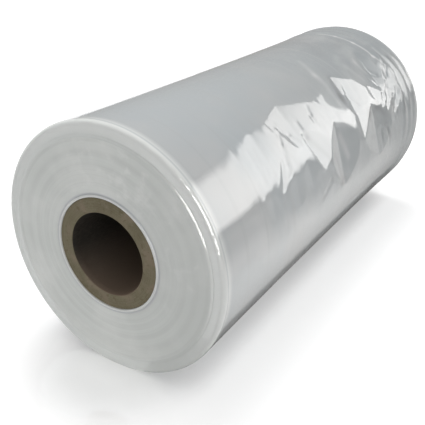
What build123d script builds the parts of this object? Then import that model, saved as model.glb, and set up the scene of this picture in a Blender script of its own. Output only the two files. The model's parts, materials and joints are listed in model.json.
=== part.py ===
from build123d import *

import math
import os
from collections import namedtuple

# A roll of clear lay-flat polyethylene tubing wound on a heavy paperboard core. The roll lies on its
# side on a small flat spot, with its axis along Y and its near end at -Y. The origin is on the surface
# that it rests on, under the middle of the roll. All sizes are in millimetres.

# Winding
tubing_width = 508.0        # lay-flat width of the tubing, and so the length of the winding
roll_radius = 115.5         # along the straight part of the winding
flat_spot_width = 28.0      # where the roll's own weight has flattened it
near_swell = 1.6            # radius that the near end gains
near_swell_length = 230.0
flare_swell = 0.8           # radius that the looser far end gains
flare_length = 152.0        # of the stretch that swells, up to the ridges round the far end
swell_steps = 2             # straight stretches that make up each swell

# Core
core_bore = 76.2            # takes a 3 in spindle
core_wall = 14.0
core_recess = 0.6           # each end of the core lies this far inside the winding's lip
core_edge_break = 0.8       # small bevel on each sawn edge
core_clearance = 0.1        # between the core and the first turn

# End faces of the winding
lip_width = 2.4             # the first turns stand out a little around the core
lip_height = 1.2            # lip above the bottom of the gutter beside it
gutter_width = 1.3
face_depth = 0.9            # the end faces lie this far inside the lip
face_bands = 3              # crowned bands of turns that show on each end face
face_band_height = 0.5      # crown of the boldest band

# Rims between the end faces and the outside of the winding: a soft shoulder, a groove and a round ridge
near_rim_radius = 4.0
far_rim_radius = 8.0
rim_drop = 0.4              # crest of the ridge below the end face
rim_back_turn = 16.0        # degrees that the ridge turns in past its crest, towards the groove
rim_steps = 4               # facets across the ridge
groove_width = 6.0
shoulder_width = 3.0
shoulder_drop = 0.9         # bottom of the groove below the end face
shoulder_steps = 2          # facets across the shoulder

# Ridges that the folded edges of the tubing have built up round the far end
edge_ridges = 3
edge_ridge_pitch = 20.7     # of the middle ridge
edge_ridge_taper = 1.4      # each ridge is this much narrower than the one before it
edge_ridge_height = 1.1

# Folds of the loose outer turns. A buckled turn is flat across, so each fold is two flat facets that
# meet in a valley: along = its place, from 0 at the near rim to 1 at the ridges round the far end,
# around = degrees above level on the +X side, before and after = reach of its two facets along the roll
# as shares of the radius, span = degrees round the roll, lean = degrees that the valley is off square.
Fold = namedtuple("Fold", "along around before after span lean")
folds = [
    Fold(along=0.20, around=18, before=0.09, after=0.10, span=14, lean=0),
    Fold(along=0.31, around=17, before=0.14, after=0.14, span=13, lean=0),
    Fold(along=0.355, around=42, before=0.05, after=0.21, span=18, lean=28),
    Fold(along=0.435, around=28, before=0.06, after=0.29, span=26, lean=22),
    Fold(along=0.57, around=18, before=0.24, after=0.43, span=34, lean=-4),
    Fold(along=0.69, around=45, before=0.42, after=0.26, span=31, lean=0),
    Fold(along=0.70, around=40, before=0.16, after=0.40, span=32, lean=-10),
    Fold(along=0.705, around=27, before=0.12, after=0.35, span=22, lean=-8),
    Fold(along=0.82, around=16, before=0.37, after=0.38, span=31, lean=0),
    Fold(along=0.94, around=49, before=0.54, after=0.23, span=30, lean=-8),
]

half_width = tubing_width / 2
face_y = half_width - face_depth
core_radius = core_bore / 2 + core_wall
winding_bore = core_radius + core_clearance
axis_height = math.sqrt(roll_radius**2 - (flat_spot_width / 2) ** 2)
near_radius = roll_radius + near_swell
flare_radius = roll_radius + flare_swell
middle_ridge = (edge_ridges - 1) / 2
ridge_pitches = [edge_ridge_pitch + edge_ridge_taper * (middle_ridge - k) for k in range(edge_ridges)]
plain_start = near_rim_radius + rim_drop - face_y  # on Y, where the near rim ends
flare_end = face_y - rim_drop - far_rim_radius - sum(ridge_pitches)  # on Y, where the ridges start
flare_start = flare_end - flare_length


def winding_radius(y):
    """Radius of the winding's plain outside: straight, with a parabolic swell towards each end."""
    near = max(0.0, 1 - (y - plain_start) / near_swell_length)
    far = max(0.0, (y - flare_start) / flare_length)
    return roll_radius + near_swell * near**2 + flare_swell * far**2


def face_points(face_end):
    """An end face from the core outwards, as radius and height: lip, gutter, crowned bands of turns."""
    lip_end = winding_bore + lip_width
    gutter_end = lip_end + gutter_width
    points = [(winding_bore, half_width), (lip_end, half_width), (lip_end, half_width - lip_height)]
    points.append((gutter_end, face_y))
    band = (face_end - gutter_end) / face_bands
    for turn in range(face_bands):
        boldness = 0.6 + 0.4 * math.cos(2.1 * turn)
        points.append((gutter_end + (turn + 0.5) * band, face_y + face_band_height * boldness))
        points.append((gutter_end + (turn + 1) * band, face_y))
    return points


def rim_points(rim_radius, outer_radius):
    """A rim's ridge from the groove to the outside, as radius and height."""
    points = []
    for step in range(rim_steps + 1):
        angle = math.radians((90 + rim_back_turn) * step / rim_steps - rim_back_turn)
        radius = outer_radius - rim_radius * (1 - math.sin(angle))
        points.append((radius, face_y - rim_drop - rim_radius * (1 - math.cos(angle))))
    return points


def end_points(rim_radius, outer_radius):
    """A whole end from the core outwards, as radius and height: face, elliptical shoulder, groove, rim."""
    rim = rim_points(rim_radius, outer_radius)
    face_end = rim[0][0] - groove_width - shoulder_width
    points = face_points(face_end)
    for step in range(1, shoulder_steps + 1):
        angle = math.pi / 2 * step / shoulder_steps
        drop = shoulder_drop * (1 - math.cos(angle))
        points.append((face_end + shoulder_width * math.sin(angle), face_y - drop))
    return points + rim


def outside_points():
    """The winding's outside from past the near rim to the last ridge, as radius and place on Y."""
    near_ys = [plain_start + near_swell_length * step / swell_steps for step in range(1, swell_steps + 1)]
    far_ys = [flare_start + flare_length * step / swell_steps for step in range(swell_steps + 1)]
    points = [(winding_radius(y), y) for y in sorted(near_ys + far_ys)]
    y = flare_end
    for pitch in ridge_pitches:
        points.append((flare_radius + edge_ridge_height, y + pitch / 2))
        points.append((flare_radius, y + pitch))
        y += pitch
    return points


def winding_section():
    """Half section of the winding, with X as the radius and Y along the roll."""
    near_end = [(radius, -y) for radius, y in end_points(near_rim_radius, near_radius)]
    far_end = end_points(far_rim_radius, flare_radius)[-2::-1]  # inwards from the end of the last ridge
    return make_face(Polyline(near_end + outside_points() + far_end, close=True))


def fold_tool(fold):
    """A flat-sided wedge that presses a fold into the winding, its edge along the fold's valley."""
    along = plain_start + fold.along * (flare_end - plain_start)
    radius = winding_radius(along)
    depth = radius * (1 - math.cos(math.radians(fold.span / 2)))
    top = near_swell + flare_swell + edge_ridge_height  # clear of the tallest part of the winding
    reach = roll_radius * (depth + top) / depth
    wedge_section = Polyline((0, -depth), (fold.after * reach, top), (-fold.before * reach, top), close=True)
    wedge = extrude(Plane.YZ * make_face(wedge_section), radius, both=True)
    on_winding = Pos(0, along, axis_height) * Rot(0, 90 - fold.around, 0) * Pos(0, 0, radius)
    return on_winding * Rot(0, 0, fold.lean) * wedge


def wound_film():
    """The whole winding as one solid, lying on its flat spot."""
    film = Pos(0, 0, axis_height) * revolve(winding_section(), Axis.Y)
    for fold in folds:
        film -= fold_tool(fold)
    ground = Pos(0, 0, -roll_radius) * Box(4 * roll_radius, 2 * tubing_width, 2 * roll_radius)
    return film - ground


def cardboard_core():
    """The paperboard tube inside the winding."""
    length = tubing_width - 2 * core_recess
    tube = Cylinder(core_radius, length) - Cylinder(core_bore / 2, length)
    tube = chamfer(tube.edges().filter_by(GeomType.CIRCLE), core_edge_break)
    return Pos(0, 0, axis_height) * Rot(90, 0, 0) * tube


os.makedirs("parts", exist_ok=True)
for node, make in {"wound_film": wound_film, "cardboard_core": cardboard_core}.items():
    solid = make()
    print(node, "volume", round(solid.volume), "valid", solid.is_valid, "faces", len(solid.faces()))
    export_step(solid, f"parts/{node}.step")
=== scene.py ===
import json
import math

import bpy
import numpy as np
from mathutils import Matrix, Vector


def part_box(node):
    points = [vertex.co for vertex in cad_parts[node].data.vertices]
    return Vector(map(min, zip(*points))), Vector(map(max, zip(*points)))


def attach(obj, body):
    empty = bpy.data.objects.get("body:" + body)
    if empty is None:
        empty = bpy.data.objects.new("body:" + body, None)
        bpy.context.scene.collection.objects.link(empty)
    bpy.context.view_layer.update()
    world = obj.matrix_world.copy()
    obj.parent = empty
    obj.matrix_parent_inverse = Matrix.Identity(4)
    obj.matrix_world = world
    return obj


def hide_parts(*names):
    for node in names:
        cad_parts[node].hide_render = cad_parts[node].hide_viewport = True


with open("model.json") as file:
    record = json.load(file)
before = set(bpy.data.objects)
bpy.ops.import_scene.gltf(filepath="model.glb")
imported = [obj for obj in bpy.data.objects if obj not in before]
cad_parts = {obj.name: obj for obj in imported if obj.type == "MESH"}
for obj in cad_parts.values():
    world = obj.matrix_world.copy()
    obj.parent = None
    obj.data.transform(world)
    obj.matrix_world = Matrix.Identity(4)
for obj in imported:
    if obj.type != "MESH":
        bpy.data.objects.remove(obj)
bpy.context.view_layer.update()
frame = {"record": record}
mm = 0.001  # shapes are worked out in millimetres and scaled on the way into the mesh

filmLow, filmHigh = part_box("wound_film")
coreLow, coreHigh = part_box("cardboard_core")
boreMount = next(m for m in frame["record"]["mounts"] if m["name"] == "core_bore")
axisHeight = (coreLow.z + coreHigh.z) / 2 / mm
halfWidth = filmHigh.y / mm
coreRadius = coreHigh.x / mm
boreRadius = boreMount["dims"]["r_mm"]
print("frame loaded, roll length", round(2 * halfWidth), "mm, axis at", round(axisHeight, 2), "mm")


# Meshes


def gridMesh(name, points, materials, faceMaterial=None, shade=None):
    # A closed torus of quads: points[i, j] runs along the profile in i and round the roll in j, and both
    # wrap round. faceMaterial picks a material for each row, and shade is a tone for each point.
    rows, columns = points.shape[:2]
    i, j = np.meshgrid(np.arange(rows), np.arange(columns), indexing="ij")
    here, nextRow = i * columns + j, (i + 1) % rows * columns + j
    step = (j + 1) % columns - j
    quads = np.stack([here, nextRow, nextRow + step, here + step], axis=-1).reshape(-1, 4)
    mesh = bpy.data.meshes.new(name)
    mesh.from_pydata((points.reshape(-1, 3) * mm).tolist(), [], quads.tolist())
    for material in materials:
        mesh.materials.append(material)
    if faceMaterial is not None:
        mesh.polygons.foreach_set("material_index", np.repeat(faceMaterial, columns).astype(np.int32))
    if shade is not None:
        tones = mesh.attributes.new("shade", "FLOAT", "POINT")
        tones.data.foreach_set("value", shade.ravel().astype(np.float32))
    mesh.polygons.foreach_set("use_smooth", np.ones(len(quads), bool))
    mesh.update()
    piece = bpy.data.objects.new(name, mesh)
    bpy.context.scene.collection.objects.link(piece)
    return piece


def smoothStep(low, high, value):
    # 0 below low, 1 above high, and 3t^2 - 2t^3 between them.
    t = np.clip((value - low) / (high - low), 0, 1)
    return t * t * (3 - 2 * t)


def smoothMin(a, b, blend):
    # The lesser of a and b, with the edge between them rounded over a height of blend.
    h = np.clip(1 - np.abs(a - b) / blend, 0, 1)
    return np.minimum(a, b) - h * h * blend / 4


def within(value, start, full, wane, end):
    # Rises from 0 at start to 1 at full, and falls from 1 at wane to 0 at end.
    return smoothStep(start, full, value) * smoothStep(end, wane, value)


def wrapped(angle):
    # The same angle, between -pi and pi.
    return np.mod(angle + math.pi, 2 * math.pi) - math.pi


# Winding

winding = {
    "radius": 115.5,  # of the straight part
    "nearSwell": 1.6,  # radius that the near end gains
    "nearSwellLength": 230.0,
    "farSwell": 0.8,
    "farSwellLength": 152.0,
    "ridges": 3,  # round the far end
    "ridgePitch": 20.7,  # of the middle one
    "ridgeTaper": 1.4,
    "ridgeHeight": 1.1,
    "ridgeUneven": 0.3,  # share of that height that comes and goes round the roll
    "nearRim": 4.0,
    "farRim": 8.0,
    "rimDrop": 0.4,  # crest of the rim below the end face
    "rimBackTurn": 16.0,  # degrees that the rim turns in past its crest
    "rimDent": 0.35,  # mm, of the near rim's small dents
    "rimDentWaves": (29, 47, 73),  # round the roll
    "rimDentReach": (40.0, 75.0),  # degrees from boldTurn, where they start to fade and where they end
    "grooveWidth": 6.0,
    "shoulderWidth": 3.0,
    "shoulderDrop": 0.9,  # bottom of the groove below the end face
    "shoulderBoldness": (0.25, 2.0),  # times that drop, on the left and on the right
    "shoulderUneven": ((13, 0, 0.12), (31, 1, 0.10)),  # waves round the roll, phase and share of the drop
    "shoulderTurn": 70.0,  # degrees of the shoulder's quarter ellipse
    "boldTurn": 15.0,  # degrees above level, where the groove is boldest
    "boldReach": (20.0, 85.0),  # degrees from it
    "faceDepth": 0.9,
    "faceStart": 1.2,  # mm from the gutter to the first ring of points
    "faceWave": (0.2, 0.62, 0.11, 0.4),  # height, radians for each mm of the two sines, and a phase
    "faceFade": 6.0,  # mm over which it dies away at the shoulder
    "lipWidth": 2.4,
    "lipHeight": 1.2,
    "lipInside": ((0, 0.5), (0.3, 0.1), (0.9, 0)),  # its corner at the core, as mm outwards and down
    "lipOutside": ((-0.9, 0), (-0.3, 0.15), (0, 0.6)),  # its corner at the gutter
    "gutterWall": 0.3,
    "gutterEase": 0.1,  # drop of its outer edge
    "gutterWidth": 1.3,
    "coreClearance": 0.1,
    "waves": (9, 12, 17, 25, 38, 58, 96),  # mm, of the shallow waves all over the side
    "waveSlope": 0.026,
    "waveHeading": 0.9,  # radians off the axis, at most
    "waveSeed": 7,
    "waveLevels": (0.06, 0.6),  # where the film is tight, and added where it is loose
    "waveTurn": (0.5, 0.45),  # radians, middle and reach of the loose side
    "waveStart": (20, 90),  # mm from the near end
    "waveSeam": 2.4,  # radians, past which the waves die away behind the roll
    "edgeRounding": 0.25,  # mm, of the edges between facets
    "creaseWidth": 2.6,
    "crinkles": (11, 15, 19, 25),  # mm
    "crinkleSlope": 0.08,
    "crinkleHeading": 1.2,
    "crinkleSeed": 11,
    "crinkleAlong": (370, 390, 440, 468),  # mm from the near end: start, full, wane, end
    "crinkleAround": (14, 24, 52, 64),  # the same in degrees above level
    "sideSamples": 262,
    "closeRows": (370, 390, 450, 470),  # mm from the near end, where rows are twice as close
    "farRows": (0.35, 80, 110),  # how much farther apart they are near the plain end, and up to where
    "faceSamples": 20,
    "shoulderSamples": 9,
    "grooveSamples": 4,
    "rimSamples": 12,
    "turnSamples": 264,
    "closeTurn": 32.0,  # degrees above level, the middle of the side with the folds
    "closeReach": (38.0, 62.0),  # degrees from it
    "closeness": 5,  # times as close there as behind
}

# Each fold is two flat facets that meet in a valley: mm from the near end, degrees above level,
# mm from the valley to the facets' ends before and after it, degrees round the roll, degrees of lean.
folds = [
    # along, around, before, after, span, lean
    (250, 18, 28, 50, 34, -4),
    (308, 45, 52, 30, 23, 0),
    (315, 40, 18, 43, 27, -10),
    (313, 27, 14, 40, 22, -8),
    (354, 16, 43, 44, 31, 0),
    (404, 49, 62, 26, 30, -8),
    (370, 37, 10, 16, 15, 10),
    (414, 19, 6, 10, 12, -20),
    (428, 38, 8, 16, 14, -10),
    (192, 28, 7, 34, 26, 22),
    (158, 42, 6, 24, 18, 28),
    (110, 43, 24, 26, 16, 0),
    (176, 46, 46, 62, 20, 0),
    (215, 42, 4, 12, 11, 5),
    (170, 19, 14, 22, 14, 0),
    (140, 17, 16, 16, 13, 0),
    (92, 18, 10, 12, 14, 0),
]

# Each crease is a fine groove between two places, both as mm from the near end and degrees above level.
creases = [
    # startAlong, startAround, endAlong, endAround, mm deep
    (115, 22, 129, 32, 0.60),
    (136, 33, 136, 29.5, 0.40),
    (136, 29.5, 133, 25, 0.50),
    (80, 29, 76, 18, 0.35),
    (92, 44, 90, 37, 0.25),
    (90, 37, 92, 29, 0.25),
    (102, 34, 100, 30, 0.20),
    (149, 44, 142, 39, 0.35),
    (142, 39, 139, 33, 0.35),
    (154, 49, 156, 44, 0.30),
    (156, 44, 164, 41, 0.40),
    (164, 41, 173, 34, 0.35),
    (189, 44, 188, 37, 0.35),
    (188, 37, 191, 31, 0.40),
    (222, 48, 218, 43.5, 0.30),
    (218, 43.5, 220, 37, 0.35),
    (140, 56, 146, 47, 0.20),
    (146, 57, 150, 48, 0.20),
    (85, 61, 93, 49, 0.20),
    (312, 43, 325, 35, 0.40),
    (407, 36, 388, 30, 0.40),
    (393, 41, 396, 30, 0.30),
    (190, 4, 212, 9.6, 0.30),
    (212, 9.6, 236, 2.4, 0.30),
    (368, 14, 366, 3, 0.30),
    (384, 12, 388, 2, 0.30),
    (76, 50, 73, 43, 0.25),
    (398, 52, 412, 44, 0.35),
    (405, 46, 421, 40, 0.35),
    (410, 34, 424, 28, 0.35),
    (400, 30, 404, 24, 0.30),
    (388, 44, 396, 38, 0.30),
    (418, 36, 430, 30, 0.35),
    (284, 78, 286, 58, 0.25),
]

# Each mark is a soft streak of tone between two places: painted shade in folds, creases and ridge valleys
# below 0, painted light and highlight on facets and ridge crests above it.
paintedStreaks = [
    # startAlong, startAround, endAlong, endAround, mm wide, strength
    (306, 54, 298, 43, 9, -0.5),
    (298, 43, 294, 31, 8, -0.4),
    (188, 45.5, 192, 35.5, 5, -0.3),
    (192, 35.5, 222, 17, 5, -0.3),
    (218, 47, 218, 38, 5, -0.25),
    (147, 41.5, 137, 25.5, 5, -0.25),
    (103, 43.5, 93, 28.5, 5, -0.18),
    (345, 30, 344, 18, 5, -0.2),
    (376, 26, 388, 8, 5, -0.2),
    (297, 74, 286, 62, 5, 0.35),
    (286, 60, 287, 43, 7, 0.4),
    (288, 40, 292, 33, 6, 0.35),
    (190, 4, 212, 9.6, 5, -0.22),
    (212, 9.6, 236, 2.4, 5, -0.2),
    (410, 24, 424, 18, 5, -0.5),
    (335, 14, 352, 12, 4, -0.35),
    (366, 12, 372, 4, 4, -0.3),
    (382, 14, 392, 6, 5, -0.4),
    (449, 15, 449, 50, 5, -0.6),
    (470, 15, 470, 50, 5, -0.6),
    (488, 15, 488, 50, 5, -0.5),
    (231, 19, 245, 5, 7, -0.4),
    (258, 26, 265, 14, 6, 0.5),
    (222, 12, 240, 4, 4, -0.22),
    (240, 4, 262, 2, 4, -0.22),
    (262, 2, 288, 12, 4, -0.18),
    (322, 20, 342, 27, 6, -0.35),
    (342, 27, 366, 28, 6, -0.35),
    (366, 28, 392, 20, 6, -0.35),
    (360, 15, 361, 7, 3, 0.3),
    (10, 9, 62, 11, 16, 0.45),
    (70, 4, 120, 6, 13, 0.2),
    (112, 9, 172, -4, 9, 0.22),
    (120, 18, 186, 4, 9, -0.14),
    (433, 94, 434, 82, 2.5, 0.6),
    (434, 82, 436, 70, 2.5, 0.75),
    (436, 70, 439, 55, 2.5, 0.75),
    (439, 55, 446, 40, 2.5, 0.6),
    (358, 57, 372, 46, 6, 0.3),
    (390, 57, 394, 49, 5, 0.3),
    (460, 30, 460, 60, 3, 0.4),
    (350, 62, 366, 66, 8, 0.3),
    (388, 58, 404, 66, 8, 0.3),
    (400, 72, 425, 78, 14, -0.3),
    (345, 74, 372, 84, 16, -0.25),
]

faceY = halfWidth - winding["faceDepth"]
ridgeOrder = (winding["ridges"] - 1) / 2 - np.arange(winding["ridges"])
ridgePitches = winding["ridgePitch"] + winding["ridgeTaper"] * ridgeOrder
plainStart = winding["nearRim"] + winding["rimDrop"] - faceY
ridgeStart = faceY - winding["rimDrop"] - winding["farRim"] - ridgePitches.sum()
ridgeEdges = ridgeStart + np.concatenate([[0], np.cumsum(ridgePitches)])


def plainRadius(y):
    # Straight, with a parabolic swell towards the near rim and one up to the ridges round the far end.
    near = np.clip(1 - (y - plainStart) / winding["nearSwellLength"], 0, 1)
    far = np.clip(1 + (y - ridgeStart) / winding["farSwellLength"], 0, 1)
    return winding["radius"] + winding["nearSwell"] * near ** 2 + winding["farSwell"] * far ** 2


def foldRadius(y, around, fold):
    # Distance from the axis to two planes through a valley, whichever is farther out. Each plane rises from
    # the valley by depth over its own width, so with its slope k, at a turn d from the fold's middle:
    # r (cos d - k sin lean sin d) = R - depth + k cos lean (y - y0).
    along, centre, before, after, span, lean = fold
    place = along - halfWidth
    radius = plainRadius(np.float64(place))
    depth = radius * (1 - math.cos(math.radians(span / 2)))
    turn = wrapped(around - math.radians(centre))
    tilt = math.radians(lean)
    facets = []
    for slope in (-depth / before, depth / after):
        rise = radius - depth + slope * math.cos(tilt) * (y - place)
        facets.append(rise / np.maximum(np.cos(turn) - slope * math.sin(tilt) * np.sin(turn), 0.2))
    return np.where(np.abs(turn) < 1.2, np.maximum(*facets), 10 * radius)  # out of reach behind the roll


def ridgeRise(y, around):
    # One sine-squared hump for each ridge, bolder in some places round the roll than in others.
    phase = np.interp(y, ridgeEdges, np.arange(len(ridgeEdges)))
    uneven = winding["ridgeUneven"]
    boldness = 1 - uneven + uneven * np.sin(2 * around + 1.7 * np.floor(phase))
    return winding["ridgeHeight"] * boldness * np.sin(math.pi * phase) ** 2


def waveRise(y, around):
    # Sine waves on headings of their own, strongest where the film is loose and still behind the roll.
    rise = np.zeros(np.broadcast(y, around).shape)
    around = wrapped(around)
    reach = winding["waveHeading"]
    draw = np.random.default_rng(winding["waveSeed"])
    for wavelength in winding["waves"]:
        heading, phase = draw.uniform(-reach, reach), draw.uniform(0, 2 * math.pi)
        lane = (y * math.cos(heading) + winding["radius"] * around * math.sin(heading)) / wavelength
        rise += winding["waveSlope"] * wavelength / (2 * math.pi) * np.sin(2 * math.pi * lane + phase)
    middle, width = winding["waveTurn"]
    start, full = winding["waveStart"]
    tight, more = winding["waveLevels"]
    loose = np.exp(-((around - middle) / width) ** 2) * smoothStep(start - halfWidth, full - halfWidth, y)
    return rise * (tight + more * loose) * smoothStep(math.pi, winding["waveSeam"], np.abs(around))


def lineGap(y, around, line):
    # Distance in mm from a straight line on the unrolled side, given by mm and degrees of both its ends.
    startY, startTurn, endY, endTurn = line
    arc = winding["radius"] * math.pi / 180
    run, climb = endY - startY, (endTurn - startTurn) * arc
    fromY = y + halfWidth - startY
    fromArc = (np.degrees(wrapped(around)) - startTurn) * arc
    share = np.clip((fromY * run + fromArc * climb) / (run * run + climb * climb), 0, 1)
    return np.hypot(fromY - share * run, fromArc - share * climb)


def creaseDrop(y, around, crease):
    # A Gaussian groove of the distance to the crease's line.
    *line, depth = crease
    return depth * np.exp(-(lineGap(y, around, line) / winding["creaseWidth"]) ** 2)


def crinkleRise(y, around):
    # Tent-shaped waves on headings of their own, in the loosest turns, before the ridges round the far end.
    rise = np.zeros(np.broadcast(y, around).shape)
    around = wrapped(around)
    reach = winding["crinkleHeading"]
    draw = np.random.default_rng(winding["crinkleSeed"])
    for wavelength in winding["crinkles"]:
        heading, phase = draw.uniform(-reach, reach), draw.uniform(0, 1)
        lane = (y * math.cos(heading) + winding["radius"] * around * math.sin(heading)) / wavelength
        rise += winding["crinkleSlope"] * wavelength * (0.25 - np.abs(np.mod(lane + phase, 1) - 0.5))
    here = within(y + halfWidth, *winding["crinkleAlong"])
    return rise * here * within(np.degrees(around), *winding["crinkleAround"])


def paintedStreakTone(y, around):
    # Painted shade in the folds, creases and valleys between the ridges, and painted light and highlight on
    # facets and ridge crests: the sum of Gaussians of the distance to each mark's line.
    shade = np.zeros(np.broadcast(y, around).shape)
    for *line, width, strength in paintedStreaks:
        shade += strength * np.exp(-(lineGap(y, around, line) / width) ** 2)
    return np.clip(shade, -1, 1)


def sideRadius(y, around):
    # The plain winding with its waves, ridges and crinkles, less the folds and creases.
    radius = plainRadius(y) + ridgeRise(y, around) + waveRise(y, around) + crinkleRise(y, around)
    for fold in folds:
        radius = smoothMin(radius, foldRadius(y, around, fold), winding["edgeRounding"])
    for crease in creases:
        radius = radius - creaseDrop(y, around, crease)
    return radius


def endProfile(rimRadius, outerRadius):
    # An end from the core outwards, as radius, height and drop below the face: lip, gutter and a face with
    # waves that are a product of two sines, then an elliptical shoulder, a groove up to the rim, and the
    # rim's arc.
    start = coreRadius + winding["coreClearance"]
    lipEnd = start + winding["lipWidth"]
    gutterEnd = lipEnd + winding["gutterWidth"]
    lip = [(start + out, halfWidth - down) for out, down in winding["lipInside"]]
    lip += [(lipEnd + out, halfWidth - down) for out, down in winding["lipOutside"]]
    lip.append((lipEnd + winding["gutterWall"], halfWidth - winding["lipHeight"]))
    lip.append((gutterEnd, faceY - winding["gutterEase"]))
    lipRho, lipY = np.array(lip).T

    angle = np.radians(np.linspace(-winding["rimBackTurn"], 90, winding["rimSamples"]))
    rimRho = outerRadius - rimRadius + rimRadius * np.sin(angle)
    rimY = faceY - winding["rimDrop"] - rimRadius + rimRadius * np.cos(angle)

    faceEnd = rimRho[0] - winding["grooveWidth"] - winding["shoulderWidth"]
    faceRho = np.linspace(gutterEnd + winding["faceStart"], faceEnd, winding["faceSamples"])
    height, fine, broad, phase = winding["faceWave"]
    wave = height * np.sin(faceRho * fine) * np.sin(faceRho * broad + phase)
    wave *= smoothStep(faceEnd, faceEnd - winding["faceFade"], faceRho)

    turn = math.radians(winding["shoulderTurn"])
    angle = np.linspace(0, turn, winding["shoulderSamples"] + 1)[1:]
    shoulderRho = faceEnd + winding["shoulderWidth"] * np.sin(angle) / math.sin(turn)
    shoulderDrop = (1 - np.cos(angle)) / (1 - math.cos(turn))
    share = np.linspace(0, 1, winding["grooveSamples"] + 2)[1:-1]
    grooveRho = shoulderRho[-1] + winding["grooveWidth"] * share
    grooveDrop = 1 - smoothStep(-0.5, 1.1, share)
    grooveLevel = smoothStep(-0.3, 1.1, share) * (rimY[0] - faceY)

    radii = np.concatenate([lipRho, faceRho, shoulderRho, grooveRho, rimRho])
    level = np.full(len(shoulderRho), faceY)
    heights = np.concatenate([lipY, faceY + wave, level, faceY + grooveLevel, rimY])
    flat = np.zeros(len(lipRho) + len(faceRho))
    drops = np.concatenate([flat, shoulderDrop, grooveDrop, np.zeros(len(rimRho))])
    return radii, heights, drops * winding["shoulderDrop"]


def turnAngles(samples):
    # Angles round the roll, closer together on the side with the folds: equal steps of a summed density.
    fine = np.linspace(0, 2 * math.pi, 2000)
    away = np.abs(wrapped(fine - math.radians(winding["closeTurn"])))
    full, none = np.radians(winding["closeReach"])
    spacing = np.cumsum(1 + (winding["closeness"] - 1) * smoothStep(none, full, away))
    share = (spacing - spacing[0]) / (spacing[-1] - spacing[0])
    return np.interp(np.arange(samples) / samples, share, fine)


def sideRows(first, last, samples):
    # Places along the side, closer together in the crinkled stretch and farther apart near the plain end:
    # equal steps of a summed density.
    fine = np.linspace(first, last, 2000)
    along = fine + halfWidth
    thinner, full, none = winding["farRows"]
    spacing = np.cumsum(1 + within(along, *winding["closeRows"]) - thinner * smoothStep(none, full, along))
    share = (spacing - spacing[0]) / (spacing[-1] - spacing[0])
    return np.interp(np.linspace(0, 1, samples + 2)[1:-1], share, fine)


def windingPoints():
    # The profile carried round the axis. Its outside takes its radius from the folds, fading over the two
    # rims. The grooves in its ends are boldest on the right, where sines dent the near rim.
    nearRho, nearY, nearDrop = endProfile(winding["nearRim"], winding["radius"] + winding["nearSwell"])
    farRho, farY, farDrop = endProfile(winding["farRim"], winding["radius"] + winding["farSwell"])
    sideY = sideRows(-nearY[-1], farY[-1], winding["sideSamples"])
    rho = np.concatenate([nearRho, plainRadius(sideY), farRho[::-1]])
    drop = np.concatenate([nearDrop, np.zeros(len(sideY)), -farDrop[::-1]])
    places = np.concatenate([-nearY, sideY, farY[::-1]])
    y, around = np.meshgrid(places, turnAngles(winding["turnSamples"]), indexing="ij")

    rims = winding["rimSamples"]
    first, last = len(nearY), len(nearY) + len(sideY)
    onSide, onRim = np.zeros(len(places)), np.zeros(len(places))
    onSide[first - rims:first] = np.linspace(0, 1, rims) ** 2
    onSide[first:last] = 1
    onSide[last:last + rims] = np.linspace(1, 0, rims) ** 2
    onRim[first - rims:first] = np.sin(np.linspace(0, math.pi, rims))

    away = np.abs(wrapped(around - math.radians(winding["boldTurn"])))
    full, none = np.radians(winding["boldReach"])
    low, high = winding["shoulderBoldness"]
    boldness = low + (high - low) * smoothStep(none, full, away)
    uneven = winding["shoulderUneven"]
    boldness *= 1 + sum(share * np.sin(waves * around + phase) for waves, phase, share in uneven)
    full, none = np.radians(winding["rimDentReach"])
    dents = np.mean([np.sin(waves * (around + 1)) for waves in winding["rimDentWaves"]], axis=0)
    dents *= winding["rimDent"] * onRim[:, None] * smoothStep(none, full, away)

    radius = rho[:, None] + onSide[:, None] * (sideRadius(y, around) - plainRadius(y))
    x = radius * np.cos(around)
    z = np.maximum(axisHeight + radius * np.sin(around), 0)  # the flat spot
    points = np.stack([x, y + drop[:, None] * boldness + dents, z], axis=-1)
    rimInset = winding["nearRim"] * 1.3 + winding["grooveWidth"] + winding["shoulderWidth"]
    glossy = rho > winding["radius"] - rimInset
    return points, np.where(glossy, 0, 1), paintedStreakTone(y, around) * onSide[:, None]


# Core

core = {
    "recess": 0.6,  # each end lies this far inside the winding's lip
    "edgeBreak": 0.8,
    "plyStep": 0.05,
    "plyWave": 4.4,  # radians for each mm
    "seamDepth": 0.25,
    "seamWidth": 1.6,
    "seamPitch": 150.0,  # along the bore for each turn of the paper
    "turnSamples": 200,
    "wallSamples": 90,
    "faceSamples": 26,
}


def corePoints():
    # A tube's closed profile carried round the axis, with ply steps as a sine of the radius on its ends and
    # a helical seam as a Gaussian groove in its bore.
    end = halfWidth - core["recess"]
    edge = core["edgeBreak"]
    rho = np.linspace(boreRadius + edge, coreRadius - edge, core["faceSamples"])
    plies = end + core["plyStep"] * np.sin(rho * core["plyWave"])
    wall = np.linspace(-end + edge, end - edge, core["wallSamples"])
    radii = np.concatenate([np.full(len(wall), boreRadius)[::-1], rho, np.full(2, coreRadius), rho[::-1]])
    ys = np.concatenate([wall[::-1], -plies, [-end + edge, end - edge], plies[::-1]])
    around = np.arange(core["turnSamples"]) * 2 * math.pi / core["turnSamples"]
    grid = np.meshgrid(ys, around, indexing="ij")
    inBore = np.zeros(len(ys))
    inBore[:len(wall)] = 1
    lane = np.mod(grid[0] / core["seamPitch"] + grid[1] / (2 * math.pi), 1) - 0.5
    seam = np.exp(-(lane * core["seamPitch"] / core["seamWidth"]) ** 2) * core["seamDepth"]
    radius = radii[:, None] + inBore[:, None] * seam
    return np.stack([radius * np.cos(grid[1]), grid[0], axisHeight + radius * np.sin(grid[1])], axis=-1)


# Materials


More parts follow.
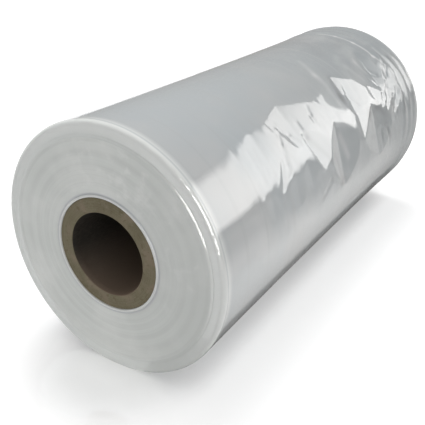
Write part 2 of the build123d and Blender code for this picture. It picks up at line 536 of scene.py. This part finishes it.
class Shader:
    # A material and its nodes, with a short way to add a node and wire its inputs.

    def __init__(self, name):
        self.material = bpy.data.materials.new(name)
        self.material.use_nodes = True
        self.nodes = self.material.node_tree.nodes
        self.links = self.material.node_tree.links
        self.surface = self.nodes["Principled BSDF"]

    def wire(self, socket, value):
        if isinstance(value, bpy.types.NodeSocket):
            self.links.new(value, socket)
        else:
            socket.default_value = value

    def add(self, kind, *inputs, output=0, **settings):
        node = self.nodes.new("ShaderNode" + kind)
        for key, value in settings.items():
            setattr(node, key, value)
        for socket, value in zip(node.inputs, inputs):
            if value is not None:
                self.wire(socket, value)
        return node.outputs[output]

    def math(self, operation, *values):
        return self.add("Math", *values, operation=operation)

    def times(self, first, second):
        return self.math("MULTIPLY", first, second)

    def facing(self, angle, turn):  # 1 at that turn round the roll, -1 across from it
        return self.math("COSINE", self.math("SUBTRACT", angle, turn))

    def rings(self, reach, scale, detail=2.0):  # noise by distance from the axis alone
        return self.add("TexNoise", None, self.times(reach, scale), 1.0, detail, noise_dimensions="1D")

    def noise(self, place, scale, detail=2.0, stretch=None):
        if stretch is not None:
            place = self.add("VectorMath", place, stretch, operation="MULTIPLY")
        return self.add("TexNoise", place, None, scale, detail)

    def remap(self, value, low, high, toLow, toHigh):
        return self.add("MapRange", value, low, high, toLow, toHigh, interpolation_type="SMOOTHSTEP")

    def blend(self, share, first, second):
        node = self.nodes.new("ShaderNodeMix")
        node.data_type = "RGBA"
        self.wire(node.inputs["Factor"], share)
        self.wire(node.inputs["A"], first)
        self.wire(node.inputs["B"], second)
        return node.outputs["Result"]

    def bump(self, height, distance, strength=1.0):
        node = self.nodes.new("ShaderNodeBump")
        node.inputs["Strength"].default_value = strength
        node.inputs["Distance"].default_value = distance
        self.links.new(height, node.inputs["Height"])
        return node.outputs["Normal"]

    def finish(self, **values):
        for key, value in values.items():
            self.wire(self.surface.inputs[key], value)
        return self.material


def axisPolar(shader):
    # Object coordinates, the place along the roll, the distance from its axis and the angle round it.
    place = shader.nodes.new("ShaderNodeTexCoord").outputs["Object"]
    split = shader.nodes.new("ShaderNodeSeparateXYZ")
    shader.links.new(place, split.inputs[0])
    x, y, z = split.outputs
    rise = shader.math("SUBTRACT", z, axisHeight * mm)
    reach = shader.math("SQRT", shader.math("ADD", shader.times(x, x), shader.times(rise, rise)))
    angle = shader.math("ARCTAN2", rise, x)
    return place, y, reach, angle


ends = {
    "tone": (0.66, 0.682, 0.66, 1),
    "pale": (0.76, 0.772, 0.75, 1),
    "shade": (0.56, 0.576, 0.56, 1),
    "wisp": (0.83, 0.835, 0.82, 1),
    "lip": (0.70, 0.71, 0.70, 1),
    # painted shade in the gutter beside the lip
    "gutter": (0.46, 0.47, 0.50, 1),
    "turnPitch": 0.9,  # mm between the fine rings
    "bandScale": 170,  # broad rings in each metre
    "cloudScale": 26,
    "wispScale": 85,
    "wispTurn": 0.8,  # radians above level on the +X side, where the wisps are boldest
    "shadeTurn": 0.2,  # the same for the face's shade
    "lipBand": (-0.4, 0.2),  # mm past the lip's edge, where its tone is full and where it ends
    "gutterBand": (0.6, 2.4),
    "bump": (0.0004, 0.15),  # m, and strength
}

clear = {
    "tone": (0.450, 0.480, 0.494, 1),
    "milky": (0.488, 0.500, 0.502, 1),  # in clouds
    "loose": (0.338, 0.362, 0.372, 1),  # painted shade: darker towards the far end, where the light falls off
    "paintedShade": (0.22, 0.23, 0.235, 1),  # painted shade, in folds, creases and ridge valleys
    "close": (0.62, 0.625, 0.625, 1),  # painted light and highlight, on facets and ridge crests
    "line": (0.44, 0.455, 0.46, 1),  # edges of turns that show through
    "rim": (0.76, 0.775, 0.755, 1),  # folded edges seen on end, under painted light that is brightest on the +X side
    "farShadeAlong": (-0.8, 0.75),  # shares of half the length, between which the painted shade comes in
    "cloudScale": 11,
    "patchScale": 24,
    "lineStretch": (2.5, 150, 2.5),
    "rippleScale": 60,
    "rippleStretch": (1, 0.35, 1),
    "speckScale": 420,
    "rimBand": (5, 14),  # mm from the end, where the rim's tone is full and where it ends
    "rimReach": (103, 110),  # mm from the axis, between which it turns white
    "rimLightTurn": 40,  # degrees above level on the +X side, where the painted light on the rim is brightest
    "rimLine": (5, 6, 7, 8),  # mm from the end, of a grey line on it
    "dentScale": 130,
    "rimDents": 5.0,  # how much bolder the small dents of the rims are than the ripple of the side
    "bump": (0.0004, 0.12),  # m, and strength
    "scuffed": (0.12, 0.19, 1.0, 0.6),  # on Y, where the gloss falls off, and the gloss before and after
    "coatRoughness": 0.06,
}


def clearFilm():
    # Grey of many clear turns, milky in clouds, with painted shade towards the far end, faint lines round
    # the roll, streaks of painted shade and painted highlight, white rims under painted light brightest on
    # the +X side, and a glossy skin. The clouds, lines and dents are noise on the object's own coordinates.
    shader = Shader("clearFilm")
    place, y, reach, angle = axisPolar(shader)
    cloud = shader.remap(shader.noise(place, clear["cloudScale"], 3), 0.38, 0.66, 0, 1)
    tone = shader.blend(cloud, clear["tone"], clear["milky"])
    # Painted shade that darkens the film towards the far end, where the light falls off.
    low, high = (share * halfWidth * mm for share in clear["farShadeAlong"])
    farther = shader.remap(y, low, high, 0, 1)
    tone = shader.blend(farther, tone, clear["loose"])
    patches = shader.remap(shader.noise(place, clear["patchScale"], 3), 0.42, 0.70, 0, 0.5)
    tone = shader.blend(shader.times(patches, farther), tone, clear["milky"])
    # Streaks of painted shade and painted highlight, from the mesh's shade attribute.
    paintedStreak = shader.add("Attribute", attribute_name="shade", output=2)
    tone = shader.blend(shader.remap(paintedStreak, 0, -1, 0, 1), tone, clear["paintedShade"])
    tone = shader.blend(shader.remap(paintedStreak, 0, 1, 0, 1), tone, clear["close"])
    rounds = shader.noise(place, 1, 2, clear["lineStretch"])
    tone = shader.blend(shader.remap(rounds, 0.58, 0.76, 0, 0.4), tone, clear["line"])

    inset = shader.math("SUBTRACT", halfWidth * mm, shader.math("ABSOLUTE", y))
    full, none = clear["rimBand"]
    atRim = shader.remap(inset, none * mm, full * mm, 0, 0.9)
    # Pale folded edges near the rim, under painted light that is brightest on the +X side.
    low, high = clear["rimReach"]
    paleEdgeAndLight = shader.remap(shader.facing(angle, math.radians(clear["rimLightTurn"])), -0.5, 0.6, 0, 1)
    paleEdgeAndLight = shader.times(shader.remap(reach, low * mm, high * mm, 0, 1), paleEdgeAndLight)
    rimTone = shader.blend(paleEdgeAndLight, ends["tone"], clear["rim"])
    start, full, wane, end = (edge * mm for edge in clear["rimLine"])
    line = shader.times(shader.remap(inset, start, full, 0, 1), shader.remap(inset, end, wane, 0, 1))
    rimTone = shader.blend(shader.times(line, 0.6), rimTone, clear["tone"])
    tone = shader.blend(atRim, tone, rimTone)

    ripple = shader.noise(place, clear["rippleScale"], 2, clear["rippleStretch"])
    dents = shader.times(shader.noise(place, clear["dentScale"], 2), atRim)
    height = shader.math("ADD", shader.times(rounds, 0.5), ripple)
    height = shader.math("ADD", height, shader.times(dents, clear["rimDents"]))
    normal = shader.bump(height, *clear["bump"])
    specks = shader.noise(place, clear["speckScale"], 1)
    return shader.finish(**{
        "Base Color": tone,
        "Roughness": shader.remap(specks, 0.3, 0.7, 0.30, 0.42),
        "Specular IOR Level": 0.1,
        "Normal": normal,
        "Coat Weight": shader.remap(y, *clear["scuffed"]),
        "Coat Roughness": clear["coatRoughness"],
        "Coat Normal": normal,
    })


def filmEnds():
    # Cut edges of the turns: fine and broad rings by distance from the axis, under pale clouds and wisps,
    # with painted shade on the face's +X side and in the gutter beside the lip.
    shader = Shader("filmEnds")
    place, y, reach, angle = axisPolar(shader)
    fine = shader.rings(reach, 1000 / ends["turnPitch"])
    broad = shader.rings(reach, ends["bandScale"])
    cloud = shader.noise(place, ends["cloudScale"], 3)
    tone = shader.blend(shader.remap(broad, 0.36, 0.66, 0, 0.42), ends["tone"], ends["shade"])
    tone = shader.blend(shader.remap(cloud, 0.40, 0.75, 0, 0.6), tone, ends["pale"])
    wisps = shader.remap(shader.noise(place, ends["wispScale"], 4), 0.52, 0.74, 0, 0.5)
    wisps = shader.times(wisps, shader.remap(shader.facing(angle, ends["wispTurn"]), -0.2, 0.9, 0, 1))
    tone = shader.blend(wisps, tone, ends["wisp"])
    shaded = shader.remap(shader.facing(angle, ends["shadeTurn"]), 0.5, 1, 0, 0.45)
    tone = shader.blend(shaded, tone, ends["shade"])
    tone = shader.blend(shader.remap(fine, 0.50, 0.80, 0, 0.20), tone, ends["shade"])
    lipEnd = coreRadius + winding["coreClearance"] + winding["lipWidth"]
    # Painted shade in the gutter beside the lip.
    full, none = ((lipEnd + edge) * mm for edge in ends["gutterBand"])
    tone = shader.blend(shader.remap(reach, none, full, 0, 0.7), tone, ends["gutter"])
    full, none = ((lipEnd + edge) * mm for edge in ends["lipBand"])
    tone = shader.blend(shader.remap(reach, none, full, 0, 1), tone, ends["lip"])
    height = shader.math("ADD", fine, shader.times(broad, 2.0))
    return shader.finish(**{
        "Base Color": tone,
        "Roughness": shader.remap(cloud, 0.35, 0.65, 0.55, 0.40),
        "Specular IOR Level": 0.2,
        "Normal": shader.bump(height, *ends["bump"]),
        "Coat Weight": 0.12,
        "Coat Roughness": 0.25,
    })


board = {
    "tone": (0.205, 0.182, 0.120, 1),
    "dark": (0.126, 0.108, 0.066, 1),
    "blush": (0.235, 0.188, 0.138, 1),  # warmer patches
    "fleck": (0.25, 0.222, 0.155, 1),
    # painted shade: the bore's walls far darker than the board, as the shade deep inside it
    "inside": (0.018, 0.014, 0.010, 1),
    "paintedBoreLight": (0.180, 0.132, 0.096, 1),  # painted light, low in the bore
    "seam": (0.05, 0.038, 0.03, 1),
    "plyPitch": 0.55,  # mm
    "fibreScale": 700,
    "fibreStretch": (1, 0.3, 1),
    "stainScale": 35,
    "blushScale": 55,
    "speckScale": 240,
    "boreLightTurn": 0.3,  # radians that the painted light lies off the lowest line
    "seamBand": (0.008, 0.022),  # shares of the seam's pitch, where its tone is full and where it ends
    "boreBand": (0.5, 0.9),  # mm beyond the bore
    "bump": (0.0003, 0.5),  # m, and strength
}


def paperboard():
    # Grey-brown board: rings of plies on the sawn ends, stains, short fibres and flecks, and in the bore a
    # spiral seam, painted shade deep inside and painted light low down.
    shader = Shader("paperboard")
    place, y, reach, angle = axisPolar(shader)
    plies = shader.rings(reach, 1000 / board["plyPitch"], 1.0)
    fibre = shader.noise(place, board["fibreScale"], 3, board["fibreStretch"])
    stain = shader.noise(place, board["stainScale"], 3)
    blush = shader.noise(place, board["blushScale"], 2)
    specks = shader.noise(place, board["speckScale"], 2)
    tone = shader.blend(shader.remap(plies, 0.40, 0.65, 0, 0.7), board["tone"], board["dark"])
    tone = shader.blend(shader.remap(stain, 0.40, 0.70, 0, 0.5), tone, board["dark"])
    tone = shader.blend(shader.remap(blush, 0.48, 0.66, 0, 0.7), tone, board["blush"])
    tone = shader.blend(shader.remap(specks, 0.56, 0.70, 0, 0.6), tone, board["dark"])
    tone = shader.blend(shader.remap(fibre, 0.56, 0.74, 0, 0.6), tone, board["fleck"])

    turns = shader.math("DIVIDE", angle, 2 * math.pi)
    wound = shader.math("ADD", shader.math("DIVIDE", y, core["seamPitch"] * mm), turns)
    lane = shader.math("ABSOLUTE", shader.math("SUBTRACT", shader.math("FRACT", wound), 0.5))
    full, none = board["seamBand"]
    seam = shader.remap(lane, none, full, 0, 1)
    # Painted shade in the bore, with painted light on its lower wall.
    litLow = shader.remap(shader.facing(angle, board["boreLightTurn"] - math.pi / 2), -0.3, 0.9, 0, 1)
    lining = shader.blend(litLow, board["inside"], board["paintedBoreLight"])
    lining = shader.blend(shader.remap(fibre, 0.40, 0.75, 0, 0.09), lining, board["dark"])
    lining = shader.blend(seam, lining, board["seam"])
    full, none = ((boreRadius + edge) * mm for edge in board["boreBand"])
    tone = shader.blend(shader.remap(reach, none, full, 0, 1), tone, lining)
    height = shader.math("ADD", fibre, shader.times(plies, 0.6))
    return shader.finish(**{
        "Base Color": tone,
        "Roughness": shader.remap(fibre, 0.3, 0.7, 0.92, 0.78),
        "Specular IOR Level": 0.1,
        "Normal": shader.bump(height, *board["bump"]),
    })


points, faceMaterial, shade = windingPoints()
film = gridMesh("lay_flat_winding", points, [clearFilm(), filmEnds()], faceMaterial, shade)
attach(film, "root")
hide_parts("wound_film")
print("winding", len(film.data.polygons) * 2, "triangles")

tube = gridMesh("paperboard_tube", corePoints(), [paperboard()])
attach(tube, "root")
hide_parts("cardboard_core")
print("core", len(tube.data.polygons) * 2, "triangles")


# Floor, light and camera

stage = {
    "floorSize": 14.0,
    "floorDrop": 0.0004,
    "floorColour": 0.86,
    "floorShaded": 0.55,  # its colour as seen, under a light of its own
    "floorLift": 0.61,
    "contactLift": 0.39,  # where the roll is close
    "contactReach": 0.036,
    "contactShade": (0.30, 0.95),  # of the sky that is open, between which the light comes back
    "farLift": 0.2,  # added far away, so that the floor meets the background without a line
    "farReach": (0.8, 2.5),
    "floorGloss": 0.38,
    "floorBlur": 0.05,
    "floorMirror": (0.03, 0.102),  # m from the roll's line of contact over which the gloss fades out
    "worldLight": 0.56,  # that falls on the roll
    "worldSeen": 1.0,  # white, behind it and in it
    "glowTint": (1.0, 0.982, 0.960, 1),
    "boxLeft": (0.12, 2.20),  # ends of the softbox on the plan
    "boxRight": (1.95, 0.55),
    "boxHeights": (0.15, 1.36),
    "boxFoot": (0.15, 0.31),  # heights between which its lower edge fades in
    "boxHead": (1.36, 1.06),  # and its upper edge
    "boxRadiance": (2.9, 6.4),  # towards its left and right ends
    "boxFade": 0.28,  # share of its width over which the left end fades in
    "flatLeft": (-3.4, 1.72),  # ends of the grey flat behind it
    "flatRight": (3.4, 1.92),
    "flatHeights": (0.0, 3.2),
    "flatRadiance": (0.38, 0.38),
    "stripLeft": (1.77, -0.70),  # ends of the strip light on the right
    "stripRight": (0.99, -1.62),
    "stripHeights": (0.12, 1.6),
    "stripRadiance": (15.0, 15.0),
    "clothStart": 0.03,  # grey cloth on the floor beside the roll, darker farther back
    "clothBright": (0.19, -0.05),
    "clothDark": (0.45, 0.45),
    "clothEnd": 5.0,
    "clothSides": (-1.2, 4.5),
    "clothRadiance": (1.64, 0.88),
    "clothRise": 0.001,
    "clothShade": (0.095, 0.21, 0.36),  # along the roll: from and to on X, and the share of light left
    "clothEdge": (0.098, 0.115, 0.25),  # the same, close to the line of contact
    "fillPlace": (-0.35, 0.35, 2.0),
    "fillSize": 1.0,
    "fillStrength": 0.64,  # on a surface that faces it
}


def floorMaterial():
    # White sheet with a little light of its own, less where the roll is close and more far away. Beside the
    # roll's line of contact it mirrors the roll faintly.
    shader = Shader("paleFloor")
    path = shader.nodes.new("ShaderNodeLightPath")
    seen = shader.math("MAXIMUM", path.outputs["Is Camera Ray"], path.outputs["Is Glossy Ray"])
    seen = shader.math("MAXIMUM", seen, path.outputs["Is Transmission Ray"])
    place = shader.nodes.new("ShaderNodeTexCoord").outputs["Object"]
    rollEnd = halfWidth * mm
    along = shader.add("Clamp", shader.add("SeparateXYZ", place, output=1), -rollEnd, rollEnd)
    nearest = shader.add("CombineXYZ", 0, along, 0)
    away = shader.add("VectorMath", place, nearest, operation="DISTANCE", output=1)
    mirror = shader.remap(away, *stage["floorMirror"], stage["floorGloss"], 0)
    gloss = shader.add("BsdfAnisotropic", (1, 1, 1, 1), stage["floorBlur"])
    mixed = shader.add("MixShader", mirror, shader.surface.outputs[0], gloss)
    shader.links.new(mixed, shader.nodes["Material Output"].inputs["Surface"])
    contact = shader.add("AmbientOcclusion", (1, 1, 1, 1), stage["contactReach"], output=1)
    lift = shader.remap(contact, *stage["contactShade"], stage["contactLift"], stage["floorLift"])
    lift = shader.math("ADD", lift, shader.remap(away, *stage["farReach"], 0, stage["farLift"]))
    lit, shown = ((stage[key],) * 3 + (1,) for key in ("floorColour", "floorShaded"))
    return shader.finish(**{
        "Base Color": shader.blend(seen, lit, shown),
        "Roughness": 1.0,
        "Specular IOR Level": 0.0,
        "Emission Color": (1, 1, 1, 1),
        "Emission Strength": shader.times(seen, lift),
    })


def glowMaterial(name, start, end, radiance, fade=0.0, edges=(), shades=()):
    # Shines from the first radiance at its start on the plan to the second at its end. It fades in over a
    # share of its width, over each edge's heights and over each shade's stretch of X, and light from behind
    # passes through it.
    shader = Shader(name)
    place = shader.nodes.new("ShaderNodeTexCoord").outputs["Object"]
    way = Vector((end[0] - start[0], end[1] - start[1], 0))
    along = shader.add("VectorMath", place, tuple(way.normalized()), operation="DOT_PRODUCT", output=1)
    origin = way.normalized().dot(Vector((start[0], start[1], 0)))
    level = shader.remap(along, origin, origin + way.length, *radiance)
    if fade:
        level = shader.times(level, shader.remap(along, origin, origin + fade * way.length, 0.1, 1))
    for edge in edges:
        level = shader.times(level, shader.remap(shader.add("SeparateXYZ", place, output=2), *edge, 0, 1))
    for shade in shades:
        level = shader.times(level, shader.remap(shader.add("SeparateXYZ", place), *shade, 1))
    glow = shader.add("Emission", stage["glowTint"], level)
    back = shader.nodes.new("ShaderNodeNewGeometry").outputs["Backfacing"]
    mixed = shader.add("MixShader", back, glow, shader.add("BsdfTransparent"))
    shader.links.new(mixed, shader.nodes["Material Output"].inputs["Surface"])
    return shader.material


def sheet(name, corners, material):
    mesh = bpy.data.meshes.new(name)
    mesh.from_pydata(corners, [], [(0, 1, 2, 3)])
    mesh.materials.append(material)
    piece = bpy.data.objects.new(name, mesh)
    bpy.context.scene.collection.objects.link(piece)
    return piece


def onlyReflected(piece):
    piece.visible_camera = piece.visible_diffuse = piece.visible_transmission = piece.visible_shadow = False


def upright(name, left, right, heights, radiance, fade=0.0, edges=()):
    low, high = heights
    corners = [left + (low,), right + (low,), right + (high,), left + (high,)]
    onlyReflected(sheet(name, corners, glowMaterial(name, left, right, radiance, fade, edges)))


half = stage["floorSize"] / 2
floorCorners = [(x * half, y * half, -stage["floorDrop"]) for x, y in ((-1, -1), (1, -1), (1, 1), (-1, 1))]
sheet("floor", floorCorners, floorMaterial())
boxEdges = (stage["boxFoot"], stage["boxHead"])
upright("softbox", stage["boxLeft"], stage["boxRight"], stage["boxHeights"], stage["boxRadiance"],
        stage["boxFade"], boxEdges)
upright("strip", stage["stripLeft"], stage["stripRight"], stage["stripHeights"], stage["stripRadiance"])
upright("flat", stage["flatLeft"], stage["flatRight"], stage["flatHeights"], stage["flatRadiance"])

low, high = stage["clothSides"]
start, end = stage["clothStart"], stage["clothEnd"]
clothPlan = ((start, low), (end, low), (end, high), (start, high))
clothCorners = [(x, y, stage["clothRise"]) for x, y in clothPlan]
clothGlow = glowMaterial("cloth", stage["clothBright"], stage["clothDark"], stage["clothRadiance"],
                         shades=(stage["clothShade"], stage["clothEdge"]))
onlyReflected(sheet("cloth", clothCorners, clothGlow))

fillPlace = Vector(stage["fillPlace"])
fillData = bpy.data.lights.new("fill", "AREA")
fillData.size = stage["fillSize"]
rollMiddle = Vector((0, 0, axisHeight * mm))
fillData.energy = stage["fillStrength"] * math.pi ** 2 * (fillPlace - rollMiddle).length ** 2
fill = bpy.data.objects.new("fill", fillData)
fill.location = fillPlace
fill.rotation_euler = (rollMiddle - fillPlace).to_track_quat("-Z", "Y").to_euler()
fill.visible_camera = fill.visible_glossy = False
bpy.context.scene.collection.objects.link(fill)

world = bpy.data.worlds.new("studio")
bpy.context.scene.world = world
world.use_nodes = True
background = world.node_tree.nodes["Background"]
background.inputs["Color"].default_value = (1, 1, 1, 1)
path = world.node_tree.nodes.new("ShaderNodeLightPath")
seen = path.outputs["Is Camera Ray"]
for kind in ("Is Glossy Ray", "Is Transmission Ray"):
    either = world.node_tree.nodes.new("ShaderNodeMath")
    either.operation = "MAXIMUM"
    world.node_tree.links.new(seen, either.inputs[0])
    world.node_tree.links.new(path.outputs[kind], either.inputs[1])
    seen = either.outputs[0]
level = world.node_tree.nodes.new("ShaderNodeMapRange")
level.inputs["To Min"].default_value = stage["worldLight"]
level.inputs["To Max"].default_value = stage["worldSeen"]
world.node_tree.links.new(seen, level.inputs["Value"])
world.node_tree.links.new(level.outputs[0], background.inputs["Strength"])
print("floor and light set, fill of", round(fillData.energy, 2), "W")

cameraPlan = {
    "place": (0.3294, -0.6059, 0.3841),
    "turn": 32.33,  # degrees that it looks to the left of +Y
    "tilt": 25.83,  # degrees that it looks down
    "lens": 54.42,
    "sensor": 36,
}
cameraData = bpy.data.cameras.new("camera")
cameraData.lens = cameraPlan["lens"]
cameraData.sensor_width = cameraPlan["sensor"]
camera = bpy.data.objects.new("camera", cameraData)
camera.location = cameraPlan["place"]
camera.rotation_euler = (math.radians(90 - cameraPlan["tilt"]), 0, math.radians(cameraPlan["turn"]))
bpy.context.scene.collection.objects.link(camera)
bpy.context.scene.camera = camera
bpy.context.scene.view_settings.view_transform = "Standard"
print("camera placed, lens", cameraPlan["lens"], "mm")
